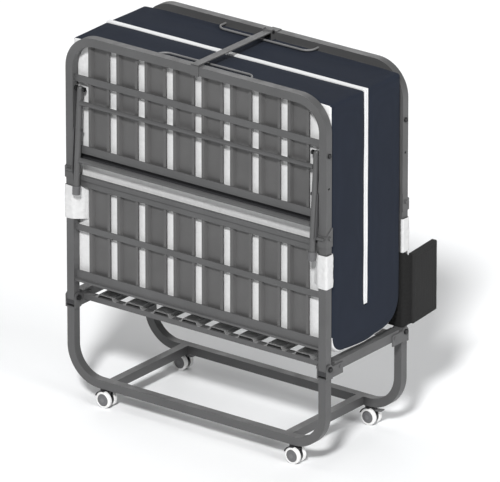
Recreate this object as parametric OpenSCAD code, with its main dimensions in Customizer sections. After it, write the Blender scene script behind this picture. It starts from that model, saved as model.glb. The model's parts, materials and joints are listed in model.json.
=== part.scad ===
// Folding guest bed on casters, folded and standing.
// X runs across the bed, Y from the front section to the rear one, Z is up, the floor is Z = 0.
// Modules are drawn about the bed's own middle plane, and placed() moves them so that the
// origin is the middle of the outer box, on the floor.

/* [Bed] */
// Width over the frame tubes
bed_w = 900; // [880:5:920]
// Depth over the frame tubes of the folded bed
bed_d = 374; // [370:1:380]
// Height of the folded frame
bed_h = 1090; // [1086:1:1096]
// Height of the fold pivots
pivot_z = 304; // [302:1:304]

/* [Tubes] */
// Side of the square frame tube
tube = 25; // [25:1:26]
// Wall of the frame tube
wall = 1.5; // [1.2:0.1:2]
// Outer bend radius of the sleeping sections
section_bend = 100; // [80:5:110]
// Outer bend radius of the floor hoops
hoop_bend = 110; // [90:5:115]
// Underside of the floor hoops
hoop_z = 55; // [54.8:0.1:57]

/* [Slats] */
// Number of slats across the bed
slat_n = 8; // [6:1:8]
// Distance from slat to slat
slat_pitch = 98.3; // [96:0.1:100]
// Width of a slat with its flanges
slat_w = 73.5; // [70:0.5:76]
// Height of the pressed slat profile
slat_h = 11; // [9:0.5:11]
// Sheet thickness of the slats
slat_t = 1.5; // [1:0.1:2]

/* [Mattress] */
// Thickness of one mattress half
mat_t = 158; // [150:1:158]
// Width of the mattress
mat_w = 892; // [880:1:893]
// Top of the folded mattress
mat_top = 1067; // [1050:1:1069]
// Top of the folded-over bottom part
fold_z = 438; // [425:1:440]

/* [Legs] */
// Diameter of the swing-out legs
leg_d = 18; // [16:1:18]
// Height of the leg pivots on the folded bed
leg_z = 928; // [920:1:932]
// Length from leg pivot to the floor end of its foot
leg_len = 307; // [300:1:310]
// Outward tilt of the stowed legs
leg_tilt = 4; // [3.5:0.1:5]

/* [Casters] */
// Wheel diameter
wheel_d = 49; // [47:0.5:49]
// Sideways distance of the caster swivels from the middle
caster_x = 330; // [320:1:335]

/* [Hidden] */

$fn = 48;
steel = [0.36, 0.36, 0.37];
dark_steel = [0.27, 0.27, 0.28];
zinc = [0.62, 0.62, 0.63];
black = [0.08, 0.08, 0.08];
white = [0.9, 0.9, 0.9];
navy = [0.07, 0.09, 0.17];

arm_x = bed_w / 2 - tube / 2;
arm_y = bed_d / 2 - tube / 2;
inner_x = bed_w / 2 - tube;
face_y = bed_d / 2;
back_y = bed_d / 2 - tube;
hoop_top = 274;

// Running fit of pins and bolts
bolt_r = 4;
pin_r = 3;
fixed_fit = 0.03;
running_fit = 0.06;

// Section frames
tube_end_z = pivot_z - 19;
lock_hole_z = 832;
bar_t = 3;
bar_y = 173;
upper_bars = [[948, 968], [739, 762]];
mid_bar = [507, 525];
top_rail = [640, 674];
bottom_rail = [355, 388];
upper_slats = [739, bed_h - tube];
lower_slats = [355, 662];
crown_w = 48;
web_run = 5;

// Hinge brackets
ear_t = 3.5;
ear_r = 13.5;
ear_in = inner_x - 1.5;
ear_out = bed_w / 2 + 1.5;
ear_arm = 60;
bracket_top = hoop_top + 3;
bolt_end = bed_w / 2 + 11;

// Centre deck
deck_top = 317;
deck_rail_z = 289;
deck_end = 148.5;
cross_z = [291, 307];
cross_d = 20;
deck_slat_end = 150;

// Legs and their braces
leg_x = 408;
leg_r = leg_d / 2;
foot_h = 25;
foot_r = 11.5;
leg_stop = 12;
brace_b = 118;
brace_c = [-18, -240];
brace_w = 12;
link_x = [419.5, 422.5];
slide_z = [662, 716];
slide_front_z = 696;
slide_t = 2.5;
slide_gap = 0.2;

// Straps
strap_z = [542, 639.8];
strap_t = 2.6;
strap_in_x = 396;

// Latch
latch_w = 25;
latch_t = 3;
saddle_w = 28;
saddle_t = 2;
latch_gap = 0.3;
latch_pin_y = 148;
latch_z = bed_h + saddle_t + latch_gap;

// Retainer loops
wire_r = 3;
wire_z = bed_h - 12.5;
loop_x = 160;
loop_reach = 42;
loop_bend = 27;

// Casters
wheel_r = wheel_d / 2;
trail = 8;
hub_half = 6;
wheel_in = 6.6;
wheel_out = 19.4;
axle_half = 15;
stem_r = 5.5;
brake_at = [22, 44.5];
neck_top = hoop_z - 0.4;

// Side pocket
pocket_z = [318.5, 525];
flap_z = [318.5, 541];
pocket_t = 20;
pocket_drop = 125;
pocket_lean = 6;
pocket_start = [461, 205];

// The pocket behind and the feet in front set the outer box, whose middle is the origin
box_back = pocket_start[1] + pocket_drop * cos(pocket_lean);
box_front = -arm_y - leg_len * sin(leg_tilt) - foot_r * cos(leg_tilt);
middle_y = -(box_back + box_front) / 2;

module placed() {
    translate([0, middle_y, 0]) children();
}

// Places a child made for the front half at the front (side = 0) or the rear (side = 1)
module half(side) {
    placed() mirror([0, side, 0]) children();
}

module both_sides() {
    for (m = [0, 1]) mirror([m, 0, 0]) children();
}

module along_x(x0, x1) {
    translate([x0, 0, 0]) rotate([90, 0, 90]) linear_extrude(x1 - x0) children();
}

module rod_x(x0, x1, r) {
    translate([x0, 0, 0]) rotate([0, 90, 0]) cylinder(h = x1 - x0, r = r);
}

module block(a, b) {
    translate(a) cube([for (i = [0:2]) b[i] - a[i]]);
}

// U of square bar standing in the XZ plane with its bends at the top
module u_bar(side, low, high, bend) {
    both_sides() {
        translate([arm_x, 0, low]) linear_extrude(high - bend - low) square(side, center = true);
        translate([bed_w / 2 - bend, 0, high - bend]) rotate([90, 0, 0])
            rotate_extrude(angle = 90) translate([bend - tube / 2, 0]) square(side, center = true);
    }
    translate([bend - bed_w / 2, 0, high - tube / 2]) rotate([0, 90, 0])
        linear_extrude(bed_w - 2 * bend) square(side, center = true);
}

module u_tube(low, high, bend) {
    difference() {
        u_bar(tube, low, high, bend);
        u_bar(tube - 2 * wall, low - 1, high, bend);
    }
}

// Pressed slat profile, flanges on y = 0 and crown at y = slat_h
module slat_profile() {
    h = slat_w / 2;
    c = crown_w / 2;
    w = c + web_run;
    t = slat_t;
    polygon([
        [-h, 0], [-h, t], [-w, t], [-c, slat_h], [c, slat_h], [w, t], [h, t], [h, 0],
        [w - t, 0], [c - t, slat_h - t], [t - c, slat_h - t], [t - w, 0]
    ]);
}

module slat_row() {
    for (i = [0:slat_n - 1]) translate([(i - (slat_n - 1) / 2) * slat_pitch, 0, 0]) children();
}

// ---- Floor base

module hoop() {
    color(steel) translate([0, -arm_y, 0]) difference() {
        mirror([0, 0, 1]) u_tube(-hoop_top, -hoop_z, hoop_bend);
        both_sides() translate([caster_x, 0, hoop_z - 1]) cylinder(h = 5, r = stem_r + running_fit);
    }
}

module floor_rails() {
    color(steel) placed() both_sides() translate([320 - tube, back_y, hoop_z + tube / 2])
        rotate([90, 0, 0]) linear_extrude(2 * back_y) difference() {
            translate([tube / 2, 0]) square(tube, center = true);
            translate([tube / 2, 0]) square(tube - 2 * wall, center = true);
        }
}

module centre_side_rails() {
    rail_w = ear_out - ear_in;
    color(steel) placed() both_sides() translate([ear_in, deck_end, 0]) rotate([90, 0, 0])
        linear_extrude(2 * deck_end) difference() {
            translate([0, deck_rail_z]) square([rail_w, deck_top - deck_rail_z]);
            translate([2, deck_rail_z - 1]) square([rail_w - 4, deck_top - deck_rail_z - 1]);
        }
}

module centre_cross_rails() {
    color(steel) placed() for (s = [0, 1]) mirror([0, s, 0])
        along_x(ear_t - ear_in, ear_in - ear_t) translate([-deck_end, cross_z[0]]) difference() {
            square([cross_d, cross_z[1] - cross_z[0]]);
            translate([wall, wall]) square([cross_d - 2 * wall, cross_z[1] - cross_z[0] - 2 * wall]);
        }
}

module centre_slats() {
    slat_low = cross_z[1];
    color(dark_steel) placed() slat_row() translate([0, deck_slat_end, slat_low]) rotate([90, 0, 0])
        linear_extrude(2 * deck_slat_end) intersection() {
            slat_profile();
            translate([-slat_w, 0]) square([2 * slat_w, deck_top - slat_low]);
        }
}

// Side view of one ear: round over the pivot, with an arm along the side rail
module ear_profile() {
    difference() {
        union() {
            translate([-arm_y, pivot_z]) circle(ear_r);
            translate([-arm_y - ear_r, hoop_top]) square([2 * ear_r, pivot_z - hoop_top]);
            translate([-arm_y, bracket_top]) square([ear_arm, pivot_z + 5 - bracket_top]);
        }
        translate([-arm_y, pivot_z]) circle(bolt_r + fixed_fit);
    }
}

module hinge_bracket() {
    rivet_y = ear_arm - arm_y - 12;
    along_x(ear_in - ear_t, ear_in) ear_profile();
    along_x(ear_out, ear_out + ear_t) ear_profile();
    block([ear_in - ear_t, -arm_y - ear_r, hoop_top], [ear_out + ear_t, -arm_y + ear_r, bracket_top]);
    translate([0, rivet_y, pivot_z - 5]) rod_x(ear_out + ear_t, ear_out + ear_t + 2.5, 5);
}

module hinge_brackets() {
    color(steel) placed() for (s = [0, 1]) mirror([0, s, 0]) both_sides() hinge_bracket();
}

// Bolt along X: shaft, domed head outside, hexagon nut inside
module bolt_x(head, nut, shaft_r, head_r, head_h, nut_h) {
    rod_x(nut - nut_h, head, shaft_r);
    rod_x(head, head + head_h - 1.5, head_r);
    translate([head + head_h - 1.5, 0, 0]) rotate([0, 90, 0]) cylinder(h = 1.5, r1 = head_r, r2 = head_r - 2);
    difference() {
        translate([nut - nut_h, 0, 0]) rotate([0, 90, 0]) cylinder(h = nut_h, r = head_r + 0.5, $fn = 6);
        rod_x(nut - nut_h - 1, nut + 1, shaft_r - 0.5);
    }
}

module pivot_bolts() {
    head = ear_out + ear_t;
    color(zinc) placed() for (s = [0, 1]) mirror([0, s, 0]) both_sides()
        translate([0, -arm_y, pivot_z]) bolt_x(head, ear_in - ear_t, bolt_r, 8, bolt_end - head, 6);
}

// ---- Sleeping sections, drawn for the front

module section_frame() {
    color(steel) translate([0, -arm_y, 0]) difference() {
        u_tube(tube_end_z, bed_h, section_bend);
        both_sides() {
            translate([0, 0, pivot_z]) rod_x(inner_x - 5, bed_w / 2 + 5, bolt_r + running_fit);
            translate([0, 0, leg_z]) rod_x(inner_x - 5, bed_w / 2 + 5, bolt_r + fixed_fit);
            translate([0, 0, lock_hole_z]) rod_x(arm_x, bed_w / 2 + 5, 3.5);
        }
    }
}

module section_end_caps() {
    lip = 1;
    color(black) both_sides() translate([arm_x, -arm_y, 0]) {
        difference() {
            translate([0, 0, tube_end_z - lip]) linear_extrude(13) square(tube + 2 * lip, center = true);
            translate([0, 0, tube_end_z]) linear_extrude(20) square(tube, center = true);
        }
        translate([0, 0, tube_end_z]) linear_extrude(10) square(tube - 2 * wall, center = true);
    }
}

module section_upper_bars() {
    color(dark_steel) for (bar = upper_bars)
        block([-inner_x, -bar_y - bar_t, bar[0]], [inner_x, -bar_y, bar[1]]);
}

module section_lower_rails() {
    out_y = -bar_y - bar_t;
    step = 6;
    color(dark_steel) {
        along_x(-inner_x, inner_x) polygon([
            [-bar_y, top_rail[0]], [out_y, top_rail[0]], [out_y, top_rail[0] + 18],
            [out_y - step, top_rail[0] + 21], [out_y - step, top_rail[1]], [-bar_y, top_rail[1]]
        ]);
        along_x(-inner_x, inner_x) polygon([
            [-bar_y, bottom_rail[0]], [out_y - step, bottom_rail[0]],
            [out_y - step, bottom_rail[0] + 6], [out_y, bottom_rail[0] + 8],
            [out_y, bottom_rail[1]], [-bar_y, bottom_rail[1]]
        ]);
        block([-inner_x, out_y, mid_bar[0]], [inner_x, -bar_y, mid_bar[1]]);
    }
}

// The room inside the bends of the section tube
module inside_bends() {
    inner_bend = section_bend - tube - 0.3;
    bend_x = bed_w / 2 - section_bend;
    bend_z = bed_h - section_bend;
    block([-inner_x, -face_y, 0], [inner_x, -back_y + 1, bend_z]);
    block([-bend_x, -face_y, 0], [bend_x, -back_y + 1, bed_h - tube]);
    for (s = [-1, 1]) translate([s * bend_x, -back_y + 1, bend_z]) rotate([90, 0, 0])
        cylinder(h = tube + 1, r = inner_bend);
}

module section_slats(span) {
    color(steel) intersection() {
        slat_row() translate([0, -bar_y, span[0]]) linear_extrude(span[1] - span[0]) slat_profile();
        inside_bends();
    }
}

// Wire loop over the end of the mattress
module section_retainer() {
    start = -back_y;
    bend_y = start + loop_reach - loop_bend;
    color(steel) translate([0, 0, wire_z]) {
        both_sides() {
            translate([loop_x, start, 0]) rotate([-90, 0, 0]) cylinder(h = loop_reach - loop_bend, r = wire_r);
            translate([loop_x - loop_bend, bend_y, 0])
                rotate_extrude(angle = 90) translate([loop_bend, 0]) circle(wire_r);
        }
        translate([0, start + loop_reach, 0]) rod_x(loop_bend - loop_x, loop_x - loop_bend, wire_r);
    }
}

module section_straps() {
    gap = 0.2;
    out_x = bed_w / 2 + gap + strap_t;
    out_y = -face_y - gap - strap_t;
    mat_y = -back_y + 0.4;
    color(white) both_sides() translate([0, 0, strap_z[0]]) linear_extrude(strap_z[1] - strap_z[0]) difference() {
        polygon([
            [out_x, mat_y], [out_x, out_y], [inner_x - 1, out_y], [strap_in_x, mat_y - 4.4], [strap_in_x, mat_y]
        ]);
        polygon([
            [bed_w / 2 + gap, mat_y + 1], [bed_w / 2 + gap, -face_y - gap], [inner_x + 0.2, -face_y - gap],
            [strap_in_x + 3.6, mat_y - 3.4], [strap_in_x + 3.6, mat_y + 1]
        ]);
    }
}

module section_mattress() {
    corner = 10;
    w = mat_w / 2;
    color(navy) translate([0, -1.2, 0]) rotate([90, 0, 0]) linear_extrude(mat_t) {
        translate([-w, fold_z + 3]) square([mat_w, mat_top - corner - fold_z - 3]);
        translate([corner - w, fold_z + 3]) square([mat_w - 2 * corner, mat_top - fold_z - 3]);
        for (s = [-1, 1]) translate([s * (w - corner), mat_top - corner]) circle(corner);
    }
}

module section_leg_bolts() {
    spacer = [leg_x + leg_r + 0.5, inner_x];
    color(zinc) both_sides() translate([0, -arm_y, leg_z]) {
        bolt_x(bed_w / 2, leg_x - leg_r - 0.8, bolt_r, 7, 5, 6);
        difference() {
            rod_x(spacer[0], spacer[1], 7);
            rod_x(spacer[0] - 1, spacer[1] + 1, bolt_r + fixed_fit);
        }
    }
}

module mattress_fold() {
    corner = 62;
    d = mat_t + 1.2;
    low = deck_top + 1.5;
    color(navy) placed() along_x(-mat_w / 2, mat_w / 2) intersection() {
        union() {
            translate([-d, low + corner]) square([2 * d, mat_t]);
            translate([corner - d, low]) square([2 * (d - corner), mat_t]);
            for (s = [-1, 1]) translate([s * (d - corner), low + corner]) circle(corner);
        }
        translate([-d, low]) square([2 * d, fold_z - low]);
    }
}

// ---- Latch across the top

module latch_catch() {
    y0 = -face_y - saddle_t;
    low = bed_h - tube - saddle_t;
    color(steel) half(0) along_x(-saddle_w / 2, saddle_w / 2) {
        translate([y0, bed_h]) square([tube + saddle_t, saddle_t]);
        translate([y0, low]) square([saddle_t, bed_h + saddle_t - low]);
        translate([y0, low]) square([10, saddle_t]);
    }
}

module latch_bracket() {
    half_w = latch_w / 2 + 0.7;
    ear = 2;
    color(steel) placed() {
        for (m = [0, 1]) mirror([m, 0, 0]) along_x(half_w, half_w + ear) difference() {
            union() {
                translate([latch_pin_y, latch_z + latch_t / 2]) circle(8);
                translate([latch_pin_y - 8, bed_h - 19]) square([back_y - latch_pin_y + 8, 23]);
            }
            translate([latch_pin_y, latch_z + latch_t / 2]) circle(pin_r + fixed_fit);
        }
        block([-half_w, back_y - ear, bed_h - 27], [half_w, back_y, bed_h + saddle_t]);
        block([-half_w - ear, back_y, bed_h], [half_w + ear, face_y, bed_h + saddle_t]);
    }
}

module latch_pin() {
    end = latch_w / 2 + 4.7;
    color(zinc) placed() translate([0, latch_pin_y, latch_z + latch_t / 2]) {
        rod_x(-end, end, pin_r);
        both_sides() rod_x(latch_w / 2 + 2.8, end, pin_r + 1.5);
    }
}

module latch_bar() {
    knuckle = 5;
    color(steel) placed() difference() {
        union() {
            block([-latch_w / 2, -face_y, latch_z], [latch_w / 2, latch_pin_y, latch_z + latch_t]);
            translate([0, latch_pin_y, latch_z + latch_t / 2]) rod_x(-latch_w / 2, latch_w / 2, knuckle);
        }
        translate([0, latch_pin_y, latch_z + latch_t / 2])
            rod_x(-latch_w, latch_w, pin_r + running_fit);
    }
}

// ---- Swing-out legs, drawn for the front

module leg_place() {
    translate([0, -arm_y, leg_z]) rotate([-leg_tilt, 0, 0]) children();
}

module leg_frame() {
    low = leg_stop - leg_len;
    upper = [-4.5, -39];
    lower = [0, -206];
    color(steel) leg_place() difference() {
        union() {
            both_sides() translate([leg_x, 0, 0]) {
                translate([0, 0, low]) cylinder(h = -low, r = leg_r);
                sphere(leg_r);
            }
            translate([0, upper[0], upper[1]]) rod_x(1.5 + leg_r - leg_x, leg_x - leg_r - 1.5 + 4, 6.5);
            translate([0, upper[0], upper[1]]) rod_x(leg_r - leg_x - 2.5, 0, 6.5);
            translate([0, lower[0], lower[1]]) rod_x(leg_r - leg_x - 1.2, leg_x - leg_r + 1.2, 7.5);
        }
        both_sides() {
            translate([leg_x, 0, low - 1]) cylinder(h = -low - 19, r = leg_r - wall);
            rod_x(leg_x - 20, leg_x + 20, bolt_r + running_fit);
            translate([0, 0, -brace_b]) rod_x(leg_x - 20, leg_x + 20, pin_r + running_fit);
        }
    }
}

module leg_feet() {
    color(dark_steel) leg_place() both_sides() translate([leg_x, 0, -leg_len]) difference() {
        cylinder(h = foot_h, r = foot_r);
        translate([0, 0, leg_stop]) cylinder(h = foot_h, r = leg_r + 0.05);
    }
}

// Flat brace from the leg to the slide, with its rivets
module leg_link() {
    b = [-brace_b * sin(leg_tilt), -brace_b * cos(leg_tilt)];
    run = brace_c - b;
    length = norm(run);
    lean = atan2(-run[0], -run[1]);
    color(zinc) both_sides() translate([0, b[0] - arm_y, b[1] + leg_z]) rotate([-lean, 0, 0]) {
        along_x(link_x[0], link_x[1]) {
            circle(brace_w / 2);
            translate([0, -length]) circle(brace_w / 2);
            translate([-brace_w / 2, -length]) square([brace_w, length]);
        }
        rod_x(leg_x - leg_r - 2, link_x[0], pin_r);
        rod_x(leg_x - leg_r - 3, leg_x - leg_r - 0.6, 5);
        translate([0, 0, -length]) rod_x(link_x[0] - 1.8, link_x[0], 5);
    }
}

module leg_slide() {
    out_x = bed_w / 2 + slide_gap + slide_t;
    out_y = -face_y - slide_gap - slide_t;
    knob = [-arm_y, brace_c[1] + leg_z];
    pivot = [brace_c[0] - arm_y, brace_c[1] + leg_z];
    color(steel) both_sides() {
        intersection() {
            translate([0, 0, slide_z[0]]) linear_extrude(slide_z[1] - slide_z[0]) {
                translate([out_x - slide_t, out_y]) square([slide_t, -back_y + 1.6 - out_y]);
                translate([inner_x - 2, out_y]) square([out_x - inner_x + 2, slide_t]);
                translate([inner_x + 22, -back_y + 0.2]) square([out_x - inner_x - 22, 1.4]);
            }
            along_x(0, bed_w) polygon([
                [out_y - 1, slide_z[0] - 1], [0, slide_z[0] - 1], [0, slide_z[1] + 1],
                [-back_y, slide_z[1]], [-face_y, slide_front_z], [out_y - 1, slide_front_z]
            ]);
        }
        translate([0, pivot[0], pivot[1]]) rod_x(inner_x - 2, bed_w / 2 - 4, 4);
        translate([0, knob[0], knob[1]]) rod_x(out_x, out_x + 5, 6);
    }
}

// ---- Casters, drawn about their own swivel axis

module caster_body() {
    hood_r = wheel_r + 3;
    color(black) {
        difference() {
            union() {
                translate([trail, 0, wheel_r]) rotate([90, 0, 0])
                    cylinder(h = 2 * hub_half, r = wheel_r - 3.5, center = true);
                translate([0, 0, wheel_r]) cylinder(h = neck_top - wheel_r, r = hub_half);
                intersection() {
                    translate([trail, 0, wheel_r]) rotate([90, 0, 0])
                        cylinder(h = 38, r = hood_r, center = true);
                    block([trail - 32, -20, wheel_r + 8], [trail + 4, 20, neck_top]);
                }
                translate([0, 0, 49]) cylinder(h = neck_top - 49, r = 11);
                block([5, -hub_half, 36], [brake_at[0] + 4, hub_half, 48.5]);
            }
            for (s = [-1, 1]) translate([trail, s * (hub_half + 10.3), wheel_r]) rotate([90, 0, 0])
                cylinder(h = 20, r = wheel_r + 0.7, center = true);
            translate([trail, 0, wheel_r]) rotate([90, 0, 0])
                cylinder(h = 60, r = pin_r + fixed_fit, center = true);
            block([brake_at[0] - 4.2, -3.9, 30], [60, 3.9, neck_top + 1]);
        }
        translate([brake_at[0], 0, brake_at[1]]) rotate([90, 0, 0])
            cylinder(h = 2 * hub_half, r = 1.5, center = true);
        translate([0, 0, neck_top - 1]) cylinder(h = 23, r = stem_r);
    }
}

module caster_axle() {
    color(zinc) translate([trail, 0, wheel_r]) rotate([90, 0, 0])
        cylinder(h = 2 * axle_half, r = pin_r, center = true);
}

// Wheel on the -Y side: tread, rim lip and domed hub cover in one
module caster_wheel() {
    bore = pin_r + running_fit;
    dome = 16.5;
    color(white) translate([trail, 0, wheel_r]) rotate([90, 0, 0]) rotate_extrude() polygon(concat(
        [
            [bore, wheel_in], [wheel_r - 1.5, wheel_in], [wheel_r, wheel_in + 1.5],
            [wheel_r, wheel_out - 3], [wheel_r - 2, wheel_out - 0.6], [wheel_r - 5, wheel_out],
            [wheel_r - 6.5, wheel_out - 1], [dome + 0.6, wheel_out - 1]
        ],
        [for (a = [0:15:90]) [dome * cos(a), wheel_out - 1 + 2.6 * sin(a)]],
        [[0, axle_half + 0.5], [bore, axle_half + 0.5]]
    ));
}

module caster_brake() {
    color(black) translate([brake_at[0], 0, brake_at[1]]) rotate([90, 0, 0]) difference() {
        union() {
            cylinder(h = 7.4, r = 3.4, center = true);
            rotate(8) translate([0, -1.5, -3.7]) cube([20, 3, 7.4]);
            rotate(8) translate([6, -1.5, -8.5]) cube([20, 3, 17]);
        }
        cylinder(h = 10, r = 1.5 + running_fit, center = true);
    }
}

module at_caster(sx, sy) {
    placed() translate([sx * caster_x, sy * arm_y, 0]) children();
}

// ---- Side pocket on the rear section

module side_pocket() {
    flap_x = 330;
    wrap = [bed_w / 2 + 0.4, bed_w / 2 + 2.4];
    flap_y = back_y - 2.4;
    color(black) placed() {
        translate([0, 0, flap_z[0]]) linear_extrude(flap_z[1] - flap_z[0]) {
            translate([flap_x, flap_y]) square([wrap[1] - flap_x, 2]);
            translate([wrap[0], flap_y]) square([wrap[1] - wrap[0], pocket_start[1] + 4 - flap_y]);
        }
        translate([0, 0, pocket_z[0]]) linear_extrude(pocket_z[1] - pocket_z[0])
            translate(pocket_start) rotate(pocket_lean) translate([-pocket_t, 0])
                square([pocket_t, pocket_drop]);
    }
}

half(0) hoop();  // front_hoop
half(1) hoop();  // rear_hoop
floor_rails();
centre_side_rails();
centre_cross_rails();
centre_slats();
hinge_brackets();
pivot_bolts();
mattress_fold();

half(0) section_frame();  // front_frame
half(0) section_end_caps();  // front_end_caps
half(0) section_upper_bars();  // front_upper_bars
half(0) section_lower_rails();  // front_lower_rails
half(0) section_slats(upper_slats);  // front_upper_slats
half(0) section_slats(lower_slats);  // front_lower_slats
half(0) section_retainer();  // front_retainer
half(0) section_straps();  // front_straps
half(0) section_mattress();  // front_mattress
half(0) section_leg_bolts();  // front_leg_bolts
latch_catch();

half(1) section_frame();  // rear_frame
half(1) section_end_caps();  // rear_end_caps
half(1) section_upper_bars();  // rear_upper_bars
half(1) section_lower_rails();  // rear_lower_rails
half(1) section_slats(upper_slats);  // rear_upper_slats
half(1) section_slats(lower_slats);  // rear_lower_slats
half(1) section_retainer();  // rear_retainer
half(1) section_straps();  // rear_straps
half(1) section_mattress();  // rear_mattress
half(1) section_leg_bolts();  // rear_leg_bolts
latch_bracket();
latch_pin();
side_pocket();
latch_bar();

half(0) leg_frame();  // front_leg_frame
half(0) leg_feet();  // front_leg_feet
half(0) leg_link();  // front_leg_links
half(0) leg_slide();  // front_leg_slides
half(1) leg_frame();  // rear_leg_frame
half(1) leg_feet();  // rear_leg_feet
half(1) leg_link();  // rear_leg_links
half(1) leg_slide();  // rear_leg_slides

at_caster(-1, -1) caster_body();  // front_left_caster
at_caster(-1, -1) caster_axle();  // front_left_axle
at_caster(-1, -1) caster_wheel();  // front_left_wheel_outer
at_caster(-1, -1) mirror([0, 1, 0]) caster_wheel();  // front_left_wheel_inner
at_caster(1, -1) caster_body();  // front_right_caster
at_caster(1, -1) caster_axle();  // front_right_axle
at_caster(1, -1) caster_wheel();  // front_right_wheel_outer
at_caster(1, -1) mirror([0, 1, 0]) caster_wheel();  // front_right_wheel_inner
at_caster(-1, 1) caster_body();  // rear_left_caster
at_caster(-1, 1) caster_axle();  // rear_left_axle
at_caster(-1, 1) mirror([0, 1, 0]) caster_wheel();  // rear_left_wheel_outer
at_caster(-1, 1) caster_wheel();  // rear_left_wheel_inner
at_caster(1, 1) caster_body();  // rear_right_caster
at_caster(1, 1) caster_axle();  // rear_right_axle
at_caster(1, 1) mirror([0, 1, 0]) caster_wheel();  // rear_right_wheel_outer
at_caster(1, 1) caster_wheel();  // rear_right_wheel_inner
at_caster(-1, 1) caster_brake();  // rear_left_brake
at_caster(1, 1) caster_brake();  // rear_right_brake
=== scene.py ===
"""Looks for the folding cot: padded mattress, bands, side pocket, materials, camera and light."""
import math

import bmesh
import bpy
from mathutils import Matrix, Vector, noise
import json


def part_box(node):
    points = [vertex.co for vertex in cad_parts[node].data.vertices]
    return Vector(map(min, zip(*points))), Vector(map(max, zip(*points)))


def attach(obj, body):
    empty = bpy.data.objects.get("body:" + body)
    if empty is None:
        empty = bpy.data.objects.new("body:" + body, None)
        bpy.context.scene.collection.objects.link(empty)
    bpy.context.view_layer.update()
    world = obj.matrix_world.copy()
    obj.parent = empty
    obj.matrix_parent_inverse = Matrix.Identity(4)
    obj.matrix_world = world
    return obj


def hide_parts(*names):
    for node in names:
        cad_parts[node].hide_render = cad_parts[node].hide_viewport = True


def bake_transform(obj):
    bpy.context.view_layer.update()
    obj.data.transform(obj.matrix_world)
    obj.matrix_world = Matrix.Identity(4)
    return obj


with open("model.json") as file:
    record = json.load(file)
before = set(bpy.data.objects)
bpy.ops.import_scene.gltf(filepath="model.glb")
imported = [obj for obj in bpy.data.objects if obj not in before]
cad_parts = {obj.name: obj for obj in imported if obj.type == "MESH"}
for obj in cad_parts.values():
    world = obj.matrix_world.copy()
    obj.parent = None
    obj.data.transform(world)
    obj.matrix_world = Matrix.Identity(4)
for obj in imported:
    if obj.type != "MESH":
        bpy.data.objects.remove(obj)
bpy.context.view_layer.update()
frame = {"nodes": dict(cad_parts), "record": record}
nodes = frame["nodes"]

MM = 0.001
front_lo, front_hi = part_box("front_frame")
rear_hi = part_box("rear_frame")[1]
MID_Y = (front_lo.y + rear_hi.y) / 2
FACE = (rear_hi.y - front_lo.y) / 2
HALF_W = front_hi.x
mat_lo, mat_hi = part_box("front_mattress")
fold_lo, fold_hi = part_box("mattress_fold")
UNDER = MID_Y - mat_lo.y
MAT_X = mat_hi.x
MAT_TOP = mat_hi.z
MAT_LOW = fold_lo.z
strap_lo, strap_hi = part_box("front_straps")
pocket_lo, pocket_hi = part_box("side_pocket")

# ---- camera

AZIMUTH, ELEVATION = math.radians(37.27), math.radians(21.62)
DISTANCE, LENS, SENSOR = 26.44, 688.4, 36
AIM_HEIGHT = 0.5
AIM_RIGHT, AIM_UP = 0.0380, 0.0171
FAR_CLIP = 200

back = Vector((
    math.sin(AZIMUTH) * math.cos(ELEVATION),
    -math.cos(AZIMUTH) * math.cos(ELEVATION),
    math.sin(ELEVATION),
))
right = Vector((math.cos(AZIMUTH), math.sin(AZIMUTH), 0))
up = back.cross(right)
camera = bpy.data.objects.new("camera", bpy.data.cameras.new("camera"))
bpy.context.scene.collection.objects.link(camera)
camera.data.lens = LENS
camera.data.sensor_width = SENSOR
camera.data.clip_end = FAR_CLIP
camera.location = Vector((0, MID_Y, AIM_HEIGHT)) + back * DISTANCE + right * AIM_RIGHT + up * AIM_UP
camera.rotation_mode = "QUATERNION"
camera.rotation_quaternion = (-back).to_track_quat("-Z", "Y")
bpy.context.scene.camera = camera


# ---- materials

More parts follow.
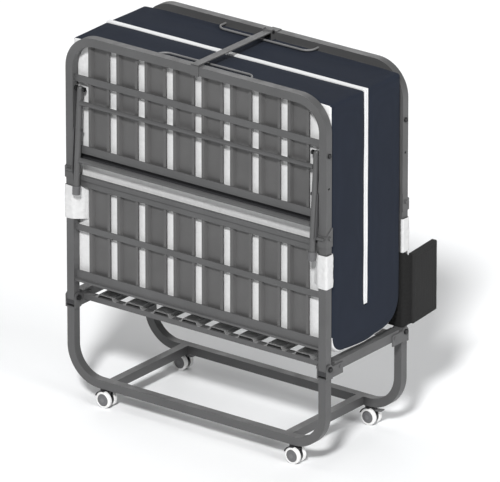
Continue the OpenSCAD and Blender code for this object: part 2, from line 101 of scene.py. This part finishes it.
class Shader:
    """A small builder of node materials in object coordinates, in metres."""

    def __init__(self, name, colour, rough=0.5, metal=0.0):
        self.mat = bpy.data.materials.new(name)
        self.mat.use_nodes = True
        self.tree = self.mat.node_tree
        self.bsdf = self.tree.nodes["Principled BSDF"]
        self.bsdf.inputs["Base Color"].default_value = (*colour, 1)
        self.bsdf.inputs["Roughness"].default_value = rough
        self.bsdf.inputs["Metallic"].default_value = metal
        self.coord = self.node("ShaderNodeTexCoord").outputs["Object"]
        self.height = None

    def node(self, kind, **settings):
        n = self.tree.nodes.new(kind)
        for k, v in settings.items():
            setattr(n, k, v)
        return n

    def link(self, a, b):
        self.tree.links.new(a, b)

    def noise(self, scale, detail=3.0, rough=0.5):
        n = self.node("ShaderNodeTexNoise")
        n.inputs["Scale"].default_value = scale
        n.inputs["Detail"].default_value = detail
        n.inputs["Roughness"].default_value = rough
        self.link(self.coord, n.inputs["Vector"])
        return n.outputs["Fac"]

    def wave(self, scale, direction, distortion=0.0):
        n = self.node("ShaderNodeTexWave", bands_direction=direction)
        n.inputs["Scale"].default_value = scale
        n.inputs["Distortion"].default_value = distortion
        n.inputs["Detail"].default_value = 1.0
        self.link(self.coord, n.inputs["Vector"])
        return n.outputs["Fac"]

    def math(self, operation, a, b=None):
        n = self.node("ShaderNodeMath", operation=operation)
        for i, v in enumerate((a, b)):
            if v is None:
                continue
            if isinstance(v, (int, float)):
                n.inputs[i].default_value = v
            else:
                self.link(v, n.inputs[i])
        return n.outputs[0]

    def spread(self, fac, low, high, to_low, to_high):
        n = self.node("ShaderNodeMapRange")
        for k, v in zip(("From Min", "From Max", "To Min", "To Max"), (low, high, to_low, to_high)):
            n.inputs[k].default_value = v
        self.link(fac, n.inputs["Value"])
        return n.outputs["Result"]

    def mix(self, fac, a, b):
        n = self.node("ShaderNodeMix", data_type="RGBA")
        self.link(fac, n.inputs["Factor"])
        for socket, v in ((n.inputs[6], a), (n.inputs[7], b)):
            if isinstance(v, tuple):
                socket.default_value = (*v, 1)
            else:
                self.link(v, socket)
        return n.outputs[2]

    def colour(self, socket):
        self.link(socket, self.bsdf.inputs["Base Color"])
        return self

    def roughness(self, socket):
        self.link(socket, self.bsdf.inputs["Roughness"])
        return self

    def bump(self, fac, strength, distance):
        n = self.node("ShaderNodeBump")
        n.inputs["Strength"].default_value = strength
        n.inputs["Distance"].default_value = distance
        self.link(fac, n.inputs["Height"])
        if self.height is not None:
            self.link(self.height, n.inputs["Normal"])
        self.height = n.outputs["Normal"]
        self.link(self.height, self.bsdf.inputs["Normal"])
        return self

    def set(self, **values):
        for k, v in values.items():
            self.bsdf.inputs[k.replace("_", " ")].default_value = v
        return self


def tint(colour, factor):
    return tuple(min(1.0, c * factor) for c in colour)


def powder_coat(name, colour, rough=0.45):
    """Satin powder coat: orange peel, faint tone changes, dust and handling marks."""
    s = Shader(name, colour, rough)
    tone = s.noise(7, 3)
    speck = s.noise(900, 2)
    base = s.mix(s.spread(tone, 0.35, 0.65, 0, 1), tint(colour, 0.93), tint(colour, 1.07))
    s.colour(s.mix(s.spread(speck, 0.62, 0.75, 0, 0.35), base, tint(colour, 1.35)))
    s.roughness(s.spread(s.noise(22, 4, 0.6), 0.3, 0.7, rough - 0.06, rough + 0.09))
    s.bump(s.noise(480, 2), 0.12, 0.0004)
    s.bump(s.noise(35, 2), 0.05, 0.0010)
    return s.mat


def zinc_plate(name, colour):
    s = Shader(name, colour, 0.35, 0.6)
    s.colour(s.mix(s.spread(s.noise(160, 3), 0.4, 0.6, 0, 1), tint(colour, 0.8), tint(colour, 1.1)))
    s.roughness(s.spread(s.noise(420, 2), 0.3, 0.7, 0.28, 0.5))
    s.bump(s.noise(1400, 2), 0.1, 0.0002)
    return s.mat


def moulded(name, colour, rough=0.55):
    """Injection-moulded plastic with a fine spark texture."""
    s = Shader(name, colour, rough)
    s.colour(s.mix(s.spread(s.noise(60, 3), 0.35, 0.65, 0, 1), tint(colour, 0.88), tint(colour, 1.12)))
    s.roughness(s.spread(s.noise(90, 3), 0.3, 0.7, rough - 0.08, rough + 0.08))
    s.bump(s.noise(1800, 2), 0.25, 0.0002)
    return s.mat


# A wave texture at scale 1 repeats every 0.314 m
WAVE_REPEAT = 0.314
# Painted shade: a near-black band on the white underside, standing in for the shadow below the deck bar
PAINTED_SHADE_COLOUR, SHADE_BAND_EDGE = (0.02, 0.02, 0.022), 0.0006


def woven(name, colour, period=0.0015, contrast=0.14, relief=0.35, slub=0.5, mottle=0.06, sheen=0.1,
          gloss=0.3, blotch=0.0, shade_band=None):
    """Plain weave: threads run along all three axes, so every face shows two of them.

    The last argument gives the two heights between which a near-black band of painted shade crosses the
    cloth, standing in for the shadow under the deck bar.
    """
    s = Shader(name, colour, 0.92)
    scale = WAVE_REPEAT / period
    two_ways = s.math("ADD", s.wave(scale, "X", slub), s.wave(scale, "Y", slub))
    threads = s.math("ADD", two_ways, s.wave(scale, "Z", slub))
    weave = s.spread(threads, 0.6, 2.2, 0, 1)
    tone = s.spread(s.noise(9, 4, 0.6), 0.3, 0.7, 0, 1)
    fleck = s.spread(s.noise(520, 2), 0.35, 0.7, 0, 1)
    base = s.mix(tone, tint(colour, 1 - mottle), tint(colour, 1 + mottle))
    if blotch:
        patch = s.spread(s.noise(85, 4, 0.65), 0.36, 0.62, 0, 1)
        base = s.mix(patch, tint(colour, 1 - blotch), base)
    yarn = s.mix(weave, tint(colour, 1 - contrast), base)
    shade = s.mix(s.math("MULTIPLY", fleck, 0.3), yarn, tint(colour, 1 + 1.6 * contrast))
    # Painted shade: the cloth is darkened to near black between the two heights
    if shade_band:
        split = s.node("ShaderNodeSeparateXYZ")
        s.link(s.coord, split.inputs[0])
        low, high = (s.spread(split.outputs["Z"], z - SHADE_BAND_EDGE, z + SHADE_BAND_EDGE, 0, 1) for z in shade_band)
        shade = s.mix(s.math("SUBTRACT", low, high), shade, PAINTED_SHADE_COLOUR)
    s.colour(shade)
    s.bump(threads, relief, 0.0004)
    s.bump(s.noise(28, 3), 0.25, 0.0030)
    s.set(Sheen_Weight=sheen, Sheen_Roughness=0.5, Specular_IOR_Level=gloss)
    return s.mat


# Distances from the axle over which the wheel's colours change
RIM_EDGE = (0.0172, 0.0178)
GROOVE_IN, GROOVE_OUT = (0.0162, 0.0166), (0.0180, 0.0176)
CAP_EDGE = (0.0062, 0.0066)
HUB_GREY, CAP_HIGHLIGHT_GREY, GROOVE_GREY = (0.115, 0.115, 0.12), (0.15, 0.15, 0.155), (0.06, 0.06, 0.06)
TYRE_CLEAN, TYRE_DIRTY = (0.78, 0.78, 0.78), (0.66, 0.65, 0.63)


def wheel_paint(name, centre_x, centre_z):
    """White tread and rim lip round a grey hub cover, told apart by the distance from the axle; the domed
    centre cap is painted lighter as a painted highlight.
    """
    s = Shader(name, (0.7, 0.7, 0.7), 0.4)
    split = s.node("ShaderNodeSeparateXYZ")
    s.link(s.coord, split.inputs[0])
    dx = s.math("SUBTRACT", split.outputs["X"], centre_x)
    dz = s.math("SUBTRACT", split.outputs["Z"], centre_z)
    radius = s.math("SQRT", s.math("ADD", s.math("MULTIPLY", dx, dx), s.math("MULTIPLY", dz, dz)))
    rim = s.spread(radius, *RIM_EDGE, 0, 1)
    groove = s.math("MULTIPLY", s.spread(radius, *GROOVE_IN, 0, 1), s.spread(radius, *GROOVE_OUT, 0, 1))
    # Painted highlight: inside the cap edge the hub is painted lighter, standing in for the highlight on the
    # dome
    cap = s.spread(radius, *CAP_EDGE, 1, 0)
    dirt = s.spread(s.noise(70, 4, 0.6), 0.4, 0.75, 0, 1)
    hub = s.mix(cap, HUB_GREY, CAP_HIGHLIGHT_GREY)
    tyre = s.mix(dirt, TYRE_CLEAN, TYRE_DIRTY)
    s.colour(s.mix(groove, s.mix(rim, hub, tyre), GROOVE_GREY))
    s.roughness(s.spread(s.noise(300, 3), 0.3, 0.7, 0.32, 0.5))
    s.bump(s.noise(900, 2), 0.08, 0.0003)
    return s.mat


GREY = (0.077, 0.077, 0.078)
# Heights of the band of painted shadow on the white underside
SHADE_BAND_HEIGHTS = (0.714, 0.7315)
frame_mat = powder_coat("frame_powder_coat", GREY)
slat_mat = powder_coat("slat_powder_coat", (0.085, 0.084, 0.084), 0.52)
# Painted light: the centre deck slats get a lighter copy of the slat paint, standing in for light on the
# shaded deck
deck_mat_painted_light = powder_coat("deck_powder_coat_painted_light", (0.19, 0.19, 0.19), 0.5)
# Painted highlight: the retainer wires get a lighter copy of the frame paint, standing in for the highlights
# along them
wire_mat_painted_highlight = powder_coat("wire_powder_coat_painted_highlight", (0.16, 0.16, 0.162), 0.38)
dark_mat = powder_coat("brace_powder_coat", (0.058, 0.058, 0.060), 0.42)
zinc_mat = zinc_plate("dark_fastener", (0.025, 0.025, 0.026))
black_mat = moulded("black_plastic", (0.022, 0.022, 0.024))
foot_mat = moulded("foot_cap_plastic", (0.10, 0.10, 0.103), 0.5)
navy_mat = woven("navy_ticking", (0.0155, 0.0200, 0.0315), sheen=0.02, gloss=0.15)
white_mat = woven("white_underside", (0.74, 0.74, 0.74), 0.0022, 0.06, 0.25, 1.2, 0.05, 0.05,
                  blotch=0.16, shade_band=SHADE_BAND_HEIGHTS)
panel_mat = woven("sleeping_panel", (0.70, 0.705, 0.71), 0.0018, 0.06, 0.3, 0.4, 0.03)
strap_mat = woven("strap_fabric", (0.62, 0.62, 0.62), 0.0012, 0.05, 0.3, 0.8, 0.04, 0.05, blotch=0.10)
pocket_mat = woven("pocket_fabric", (0.024, 0.024, 0.024), 0.0013, 0.2, 0.4, 0.3, 0.08, 0.02, 0.15)
rib_mat = woven("pocket_flap_fabric", (0.012, 0.012, 0.012), 0.0013, 0.2, 0.4, 0.3, 0.08, 0.02, 0.15)

by_slot = {
    "frame_paint": frame_mat, "slat_paint": slat_mat, "zinc": zinc_mat, "black_plastic": black_mat,
    "foot_plastic": foot_mat, "navy_fabric": navy_mat, "white_fabric": strap_mat, "pocket_fabric": pocket_mat,
}
slot_of = {p["node"]: p["material_slot"] for p in frame["record"]["subparts"]}
wheel_mats = {}
for name, obj in nodes.items():
    if slot_of[name] == "wheel_plastic":
        lo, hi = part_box(name)
        key = "wheel_left" if lo.x < 0 else "wheel_right"
        if key not in wheel_mats:
            wheel_mats[key] = wheel_paint(key, (lo.x + hi.x) / 2, (lo.z + hi.z) / 2)
        material = wheel_mats[key]
    elif name.endswith("leg_links"):
        material = dark_mat
    elif name.endswith("retainer"):
        material = wire_mat_painted_highlight
    elif name == "centre_slats":
        material = deck_mat_painted_light
    elif name.endswith("brake"):
        material = foot_mat
    else:
        material = by_slot[slot_of[name]]
    obj.data.materials.clear()
    obj.data.materials.append(material)


# ---- mesh helpers

def add_mesh(name, verts, faces, materials, sharp=35):
    mesh = bpy.data.meshes.new(name)
    mesh.from_pydata([tuple(v) for v in verts], [], [tuple(f) for f in faces])
    for m in materials:
        mesh.materials.append(m)
    obj = bpy.data.objects.new(name, mesh)
    bpy.context.scene.collection.objects.link(obj)
    smooth(mesh, sharp)
    return obj


def smooth(mesh, sharp):
    bm = bmesh.new()
    bm.from_mesh(mesh)
    bmesh.ops.recalc_face_normals(bm, faces=bm.faces)
    bm.to_mesh(mesh)
    bm.free()
    mesh.shade_smooth()
    mesh.set_sharp_from_angle(angle=math.radians(sharp))


def arc(cx, cy, r, a0, a1, n):
    return [(cx + r * math.cos(math.radians(a0 + (a1 - a0) * i / n)),
             cy + r * math.sin(math.radians(a0 + (a1 - a0) * i / n))) for i in range(n + 1)]


def inset_loop(points, d, held):
    """The closed loop moved inward by d times held(point). Points with 0 move only along the second axis."""
    out = []
    n = len(points)
    area = sum(points[i - 1][0] * points[i][1] - points[i][0] * points[i - 1][1] for i in range(n))
    turn = 1 if area > 0 else -1
    for i, p in enumerate(points):
        a, b = Vector(points[i - 1]), Vector(points[(i + 1) % n])
        e0, e1 = (Vector(p) - a).normalized(), (b - Vector(p)).normalized()
        n0, n1 = Vector((-e0.y, e0.x)) * turn, Vector((-e1.y, e1.x)) * turn
        m = (n0 + n1).normalized()
        m /= max(0.5, m.dot(n0))
        share = held(p)
        if share == 0:
            m = Vector((0, math.copysign(1, m.y) if abs(m.y) > 0.2 else 0))
        else:
            m *= share
        out.append((p[0] + m.x * d, p[1] + m.y * d))
    return out


RIM_STEPS = 4
WELD = 1e-5
SOFT_EDGE_DEGREES = 40


def padded_slab(name, loop, x0, x1, round_r, materials, pick, cuts, shape, held=lambda p: 1.0):
    """A foam slab: the loop, in Y and Z, run along X with rounded end borders.

    It is cut into a grid at the cuts, and shape() then moves each point.
    """
    stations = []
    for i in range(RIM_STEPS + 1):
        a = math.radians(90 * i / RIM_STEPS)
        stations.append((x0 + round_r * (1 - math.sin(a)), round_r * (1 - math.cos(a))))
    stations.reverse()
    stations += [(x0 + x1 - x, d) for x, d in reversed(stations)]
    bm = bmesh.new()
    rings = []
    for x, d in stations:
        ring = inset_loop(loop, d, held)
        rings.append([bm.verts.new((x, y, z)) for y, z in ring])
    n = len(loop)
    for a, b in zip(rings, rings[1:]):
        for i in range(n):
            bm.faces.new((a[i - 1], a[i], b[i], b[i - 1]))
    bm.faces.new(rings[0])
    bm.faces.new(list(reversed(rings[-1])))
    for axis, values in enumerate(cuts):
        normal = Vector([1.0 if k == axis else 0.0 for k in range(3)])
        for v in values:
            everything = bm.verts[:] + bm.edges[:] + bm.faces[:]
            bmesh.ops.bisect_plane(bm, geom=everything, dist=WELD, plane_co=normal * v, plane_no=normal)
    bmesh.ops.remove_doubles(bm, verts=bm.verts, dist=WELD)
    bmesh.ops.recalc_face_normals(bm, faces=bm.faces)
    bm.normal_update()
    for f in bm.faces:
        f.material_index = pick(f)
    moves = [shape(v.co, v.normal) for v in bm.verts]
    for v, m in zip(bm.verts, moves):
        v.co += m
    mesh = bpy.data.meshes.new(name)
    for m in materials:
        mesh.materials.append(m)
    bm.to_mesh(mesh)
    bm.free()
    obj = bpy.data.objects.new(name, mesh)
    bpy.context.scene.collection.objects.link(obj)
    smooth(mesh, SOFT_EDGE_DEGREES)
    return obj


def steps_between(a, b, pitch):
    n = max(1, round((b - a) / pitch))
    return [a + (b - a) * i / n for i in range(1, n)]


def soft_noise(p, scale, amount, seed=0.0):
    return noise.noise(Vector((p.x, p.y, p.z)) * scale + Vector((seed, seed * 1.7, -seed))) * amount


# ---- mattress

SLOT = 8 * MM
SLOT_LOW = fold_hi.z + 2 * MM
BEND = 62 * MM
REAR_BEND = (118 * MM, 95 * MM)
SAG = 8 * MM
RIM = 11 * MM
OUTER_CORNER, INNER_CORNER = 6 * MM, 5 * MM
SLOT_SHARE = 0.35
SWELL, CROWN, HEEL, LIFT = 3.2 * MM, 2.6 * MM, 3.6 * MM, 9 * MM
LIFT_WIDTH, LIFT_HEIGHT = 45 * MM, 40 * MM
NAVY, WHITE, PANEL = 0, 1, 2


def bend_profile(side, inset=0.0):
    """Underside of the fold from the middle plane to where the section starts, in Y and Z."""
    wide, high = (BEND, BEND) if side < 0 else REAR_BEND
    middle = [(-t * (UNDER - wide), MAT_LOW + SAG * t * t + inset) for t in (0.25, 0.5, 0.75)]
    bend = arc(0, 0, 1, 270, 180, 12)
    centre_y, centre_z = -UNDER + wide, MAT_LOW + SAG + high
    return middle + [(centre_y + (wide - inset) * a, centre_z + (high - inset) * b) for a, b in bend]


def mattress_half(side, section):
    """One half of the folded mattress, with its share of the fold. side is -1 in front, 1 behind."""
    high = BEND if side < 0 else REAR_BEND[1]
    edge = bend_profile(side)
    edge += arc(-UNDER + OUTER_CORNER, MAT_TOP - OUTER_CORNER, OUTER_CORNER, 180, 90, 4)
    edge += arc(-SLOT - INNER_CORNER, MAT_TOP - INNER_CORNER, INNER_CORNER, 90, 0, 4)
    edge += [(-SLOT, SLOT_LOW), (0.0, SLOT_LOW), (0.0, MAT_LOW)]
    loop = [(MID_Y - side * y, z) for y, z in edge]

    def held(p):
        """No rounding sideways on the middle plane, where the halves meet at rest, and little by the slot."""
        depth = abs(p[0] - MID_Y)
        if depth < 1e-6:
            return 0.0
        return SLOT_SHARE if depth < SLOT + 5.5 * MM and p[1] > SLOT_LOW - MM else 1.0

    def shape(p, n):
        depth = abs(p.y - MID_Y)
        t = max(0.0, min(1.0, (depth - SLOT) / (UNDER - SLOT)))
        across = 4 * t * (1 - t)
        if p.z < SLOT_LOW:
            share = depth / UNDER
            across = max(across, 4 * share * (1 - share), min(1.0, 1.4 * (1 - share)))
        up_edge = min(1.0, (MAT_TOP - p.z) / 0.06, (p.z - MAT_LOW) / 0.05)
        move = Vector((0, 0, 0))
        if abs(n.x) > 0.6:
            swell = SWELL * across * max(0.0, up_edge)
            swell += soft_noise(p, 9, 1.1 * MM) + soft_noise(p, 31, 0.35 * MM, 4)
            move.x = math.copysign(1, n.x) * swell
        if n.z > 0.6 and p.z > MAT_TOP - 0.02:
            ends = min(1.0, (MAT_X - abs(p.x)) / 0.08)
            heel = max(0.0, min(1.0, (t - 0.6) / 0.3))
            move.z = (CROWN * across + HEEL * heel) * max(0.0, ends)
            move.z += soft_noise(p, 8, 1.2 * MM, 2) * max(0.2, ends)
        if p.z < MAT_LOW + LIFT_HEIGHT:
            lift = max(0.0, (abs(p.x) - (MAT_X - LIFT_WIDTH)) / LIFT_WIDTH)
            move.z += LIFT * lift * lift * (1 - (p.z - MAT_LOW) / LIFT_HEIGHT)
        if side * (p.y - MID_Y) > UNDER - 0.004 and abs(n.y) > 0.6:
            move.y = side * min(0.0, soft_noise(p, 14, 0.9 * MM, 7) - 0.3 * MM)
        return move

    def pick(f):
        c = f.calc_center_median()
        n = f.normal
        if abs(c.y - MID_Y) < WELD:
            return PANEL
        bottom = c.z < MAT_LOW + SAG + high
        outward = math.hypot(max(0.0, side * n.y), min(0.0, n.z)) if bottom else side * n.y
        on_back = side * (c.y - MID_Y) > UNDER - 0.5 * RIM
        if bottom:
            return WHITE if outward > 0.45 else NAVY
        return WHITE if outward > 0.72 and on_back else NAVY

    cuts = (
        steps_between(-MAT_X + RIM, MAT_X - RIM, 0.022),
        [MID_Y + side * v for v in steps_between(SLOT, UNDER - OUTER_CORNER, 0.021)],
        steps_between(MAT_LOW + 2 * MM, MAT_LOW + 72 * MM, 0.009)
        + steps_between(MAT_LOW + 72 * MM, MAT_TOP - OUTER_CORNER, 0.022),
    )
    fabrics = [navy_mat, white_mat, panel_mat]
    obj = padded_slab(f"mattress_{section}", loop, -MAT_X, MAT_X, RIM, fabrics, pick, cuts, shape, held)
    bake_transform(obj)
    return obj


def sleeping_panel(side, section):
    """White sleeping surface, which shows as a stripe between the folded halves."""
    lo, hi = 0.4 * MM, SLOT
    edge = arc(-hi + 2 * MM, MAT_TOP + 1 * MM, 2 * MM, 180, 90, 3)
    edge += arc(-lo - 2 * MM, MAT_TOP + 1 * MM, 2 * MM, 90, 0, 3)
    edge += [(-lo, SLOT_LOW + 1 * MM), (-hi, SLOT_LOW + 1 * MM)]
    loop = [(MID_Y - side * y, z) for y, z in edge]

    def shape(p, n):
        if abs(n.x) > 0.6:
            return Vector((math.copysign(1, n.x) * soft_noise(p, 14, 0.8 * MM, 3), 0, 0))
        if n.z > 0.6:
            return Vector((0, 0, soft_noise(p, 12, 1.0 * MM, 5)))
        return Vector((0, 0, 0))

    reach = MAT_X + 0.8 * MM
    cuts = (
        steps_between(-reach + 3 * MM, reach - 3 * MM, 0.03),
        [],
        steps_between(SLOT_LOW + 2 * MM, MAT_TOP - 2 * MM, 0.03),
    )
    name = f"sleeping_panel_{section}"
    obj = padded_slab(name, loop, -reach, reach, 2 * MM, [panel_mat], lambda f: 0, cuts, shape)
    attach(obj, f"{section}_section")


def fold_core():
    """Middle of the mattress over the deck, seen when the sections are open."""
    inset, r = 12 * MM, 8 * MM
    y, high = UNDER - inset, SLOT_LOW - 3 * MM
    edge = bend_profile(-1, inset) + arc(-y + r, high - r, r, 180, 90, 5)
    rear = [(-a, b) for a, b in bend_profile(1, inset) + arc(-y + r, high - r, r, 180, 90, 5)]
    loop = [(MID_Y + a, b) for a, b in edge + rear[::-1] + [(0.0, MAT_LOW + inset)]]
    reach = MAT_X - 12 * MM

    def shape(p, n):
        return n * soft_noise(p, 9, 2.0 * MM, 9)

    def pick(f):
        return 1 if f.normal.z > 0.5 else 0

    cuts = (
        steps_between(-reach + 0.01, reach - 0.01, 0.03),
        steps_between(MID_Y - y + r, MID_Y + y - r, 0.031),
        [],
    )
    fabrics = [navy_mat, panel_mat]
    obj = padded_slab("mattress_middle", loop, -reach, reach, 8 * MM, fabrics, pick, cuts, shape)
    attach(obj, "base")
    return obj


front_half = mattress_half(-1, "front")
rear_half = mattress_half(1, "rear")
sleeping_panel(-1, "front")
sleeping_panel(1, "rear")
core = fold_core()
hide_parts("front_mattress")
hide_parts("rear_mattress")
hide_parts("mattress_fold")


# ---- cloth strips

def rounded_path(points, r, pitch):
    """An open path through the points, with its corners rounded to r, cut into even steps."""
    pts = [Vector(p) for p in points]
    fine = [pts[0]]
    for a, b, c in zip(pts, pts[1:], pts[2:]):
        u, v = (a - b).normalized(), (c - b).normalized()
        cut = min(r, (a - b).length * 0.45, (c - b).length * 0.45)
        for i in range(7):
            t = i / 6
            fine.append((b + u * cut) * (1 - t) ** 2 + b * 2 * t * (1 - t) + (b + v * cut) * t * t)
    fine.append(pts[-1])
    out = [fine[0]]
    for a, b in zip(fine, fine[1:]):
        n = max(1, round((b - a).length / pitch))
        for i in range(1, n + 1):
            out.append(a.lerp(b, i / n))
    length = sum((b - a).length for a, b in zip(fine, fine[1:]))
    return out, length


def cloth_strip(name, path, z0, z1, thick, rows, relief, material, body):
    """A closed strip of cloth that follows the XY path between z0 and z1. relief(s, t) pushes it outward."""
    points, length = rounded_path(path, 5 * MM, 3 * MM)
    n = len(points)
    tangents = [(points[min(i + 1, n - 1)] - points[max(i - 1, 0)]).normalized() for i in range(n)]
    verts, faces = [], []
    for layer in (1, -1):
        for j in range(rows + 1):
            t = j / rows
            for i, (p, d) in enumerate(zip(points, tangents)):
                s = i / (n - 1)
                normal = Vector((d.y, -d.x))
                out, dz = relief(s, t)
                hem = min(1.0, 12 * t, 12 * (1 - t), 12 * s + 0.35, 12 * (1 - s) + 0.35)
                off = out + layer * thick / 2 * math.sqrt(max(0.12, hem))
                q = p + normal * off
                verts.append((q.x, q.y, z0 + (z1 - z0) * t + dz))
    size = n * (rows + 1)
    at = lambda layer, j, i: layer * size + j * n + i
    for layer in (0, 1):
        for j in range(rows):
            for i in range(n - 1):
                quad = (at(layer, j, i), at(layer, j, i + 1), at(layer, j + 1, i + 1), at(layer, j + 1, i))
                faces.append(quad if layer == 0 else quad[::-1])
    for i in range(n - 1):
        faces.append((at(0, 0, i + 1), at(0, 0, i), at(1, 0, i), at(1, 0, i + 1)))
        faces.append((at(0, rows, i), at(0, rows, i + 1), at(1, rows, i + 1), at(1, rows, i)))
    for j in range(rows):
        faces.append((at(0, j, 0), at(0, j + 1, 0), at(1, j + 1, 0), at(1, j, 0)))
        faces.append((at(0, j + 1, n - 1), at(0, j, n - 1), at(1, j, n - 1), at(1, j + 1, n - 1)))
    obj = add_mesh(name, verts, faces, [material], sharp=60)
    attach(obj, body)
    return obj, length


def strap(name, x_side, y_side, body):
    outer_x = HALF_W + 3.2 * MM
    face = FACE + 2.4 * MM
    path = [
        (391 * MM, UNDER + 2.2 * MM), (399 * MM, UNDER + 4.6 * MM), (424 * MM, face),
        (outer_x, face), (outer_x, UNDER + 1.4 * MM), (447.5 * MM, UNDER + 0.9 * MM),
    ]
    path = [(x_side * x, MID_Y + y_side * y) for x, y in path]
    if x_side * y_side > 0:
        path = path[::-1]
    seed = 11.0 * x_side + 5.0 * y_side

    def relief(s, t):
        p = Vector((s * 9.0 + t * 5.0, t * 6.0 - s * 4.5, seed))
        crease = noise.noise(p * 1.3) * 0.9 + noise.noise(p * 3.1) * 0.35
        lip = (t - 0.5) * 2
        wave = 1.6 * MM * lip * noise.noise(Vector((s * 4.0, seed, 1.0)))
        return 1.5 * MM * crease * (1 - lip ** 4) + 0.8 * MM, wave

    obj, length = cloth_strip(name, path, strap_lo.z, strap_hi.z, 2.3 * MM, 26, relief, strap_mat, body)
    return obj


for section, y_side in (("front", -1), ("rear", 1)):
    for label, x_side in (("left", -1), ("right", 1)):
        band = strap(f"{section}_{label}_strap", x_side, y_side, f"{section}_section")
        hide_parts(f"{section}_straps")


# ---- side pocket

POCKET_LEAN = math.radians(6)
POCKET_T, POCKET_DROP = 20 * MM, 125 * MM
POCKET_OUT = Vector((math.cos(POCKET_LEAN), math.sin(POCKET_LEAN)))
POCKET_ALONG = Vector((-POCKET_OUT.y, POCKET_OUT.x))
POCKET_START = Vector((pocket_hi.x, MID_Y + FACE + 18 * MM)) - POCKET_OUT * POCKET_T / 2
FLAP_DROP = 16 * MM
POCKET_TOP = pocket_hi.z - FLAP_DROP
RIB_PITCH = 13.5 * MM


def pocket_flap():
    """Ribbed cloth that runs in behind the mattress and out round the tube to the pocket."""
    y, x = MID_Y + UNDER + 1.4 * MM, HALF_W + 1.4 * MM
    path = [(332 * MM, y), (x, y), (x, MID_Y + FACE + 21 * MM)]
    low, high = pocket_lo.z, pocket_hi.z

    def relief(s, t):
        z = low + (high - low) * t
        rib = math.sin((z - low) / RIB_PITCH * 2 * math.pi)
        drop = max(0.0, min(1.0, (s - 0.78) / 0.12))
        out = 0.35 * MM * rib + 0.3 * MM * noise.noise(Vector((s * 6, t * 9, 2.0)))
        return out, -FLAP_DROP * drop * t

    obj, length = cloth_strip("pocket_flap", path, low, high, 1.7 * MM, 90, relief, rib_mat, "rear_section")
    return obj


def pocket_panel():
    """Flat pocket with a raised, rounded border and a softly crowned field."""
    low, high = pocket_lo.z, POCKET_TOP
    n_s, n_t = 58, 78
    border, step = 9 * MM, 3 * MM
    verts, faces = [], []
    for layer in (1, -1):
        for j in range(n_t + 1):
            for i in range(n_s + 1):
                s, z = POCKET_DROP * i / n_s, low + (high - low) * j / n_t
                rim = min(s, POCKET_DROP - s, z - low, high - z)
                edge = math.sqrt(max(0.0, 1 - (1 - min(1.0, rim / (3.2 * MM))) ** 2))
                sunk = max(0.0, min(1.0, (rim - border) / step))
                sunk = sunk * sunk * (3 - 2 * sunk)
                crown = math.sin(math.pi * s / POCKET_DROP) * math.sin(math.pi * (z - low) / (high - low))
                field = 0.7 * MM * crown
                half = POCKET_T / 2 - 3.0 * MM * (1 - edge) - sunk * (1.9 * MM - field)
                half += 0.25 * MM * noise.noise(Vector((s * 30, z * 30, layer * 3.0))) * edge
                q = POCKET_START + POCKET_ALONG * s + POCKET_OUT * layer * half
                verts.append((q.x, q.y, z))
    size = (n_s + 1) * (n_t + 1)
    at = lambda layer, j, i: layer * size + j * (n_s + 1) + i
    for layer in (0, 1):
        for j in range(n_t):
            for i in range(n_s):
                quad = (at(layer, j, i), at(layer, j, i + 1), at(layer, j + 1, i + 1), at(layer, j + 1, i))
                faces.append(quad if layer == 0 else quad[::-1])
    ring = [(0, i) for i in range(n_s)] + [(j, n_s) for j in range(n_t)]
    ring += [(n_t, n_s - i) for i in range(n_s)] + [(n_t - j, 0) for j in range(n_t)]
    for (j0, i0), (j1, i1) in zip(ring, ring[1:] + ring[:1]):
        faces.append((at(0, j1, i1), at(0, j0, i0), at(1, j0, i0), at(1, j1, i1)))
    obj = add_mesh("pocket_panel", verts, faces, [pocket_mat], sharp=50)
    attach(obj, "rear_section")
    return obj


flap = pocket_flap()
panel = pocket_panel()
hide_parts("side_pocket")
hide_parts("side_pocket")


# ---- floor and light

REACH = 20
floor_shader = Shader("pale_floor", (0.90, 0.91, 0.92), 0.7)
clouds = floor_shader.spread(floor_shader.noise(0.8, 2), 0.3, 0.7, 0, 1)
floor_shader.colour(floor_shader.mix(clouds, (0.89, 0.90, 0.91), (0.92, 0.925, 0.93)))
corners = [(-REACH, -REACH, 0), (REACH, -REACH, 0), (REACH, REACH, 0), (-REACH, REACH, 0)]
floor = add_mesh("floor", corners, [(0, 1, 2, 3)], [floor_shader.mat])


SKY_STRENGTH = 0.13


def sun(name, towards, strength, angle):
    light = bpy.data.lights.new(name, "SUN")
    light.energy = strength
    light.angle = math.radians(angle)
    obj = bpy.data.objects.new(name, light)
    obj.rotation_mode = "QUATERNION"
    obj.rotation_quaternion = Vector(towards).to_track_quat("Z", "Y")
    bpy.context.scene.collection.objects.link(obj)


sun("key", (0.34, -0.68, 0.66), 3.1, 8)
sun("side", (0.90, -0.10, 0.42), 1.3, 30)
sun("top", (-0.15, 0.10, 1.0), 0.65, 40)
sun("behind", (-0.55, 0.80, 0.40), 0.4, 30)
world = bpy.data.worlds.new("studio")
world.use_nodes = True
sky = world.node_tree.nodes["Background"]
sky.inputs["Color"].default_value = (1, 1, 1, 1)
sky.inputs["Strength"].default_value = SKY_STRENGTH
bpy.context.scene.world = world
bpy.context.scene.view_settings.view_transform = "Standard"
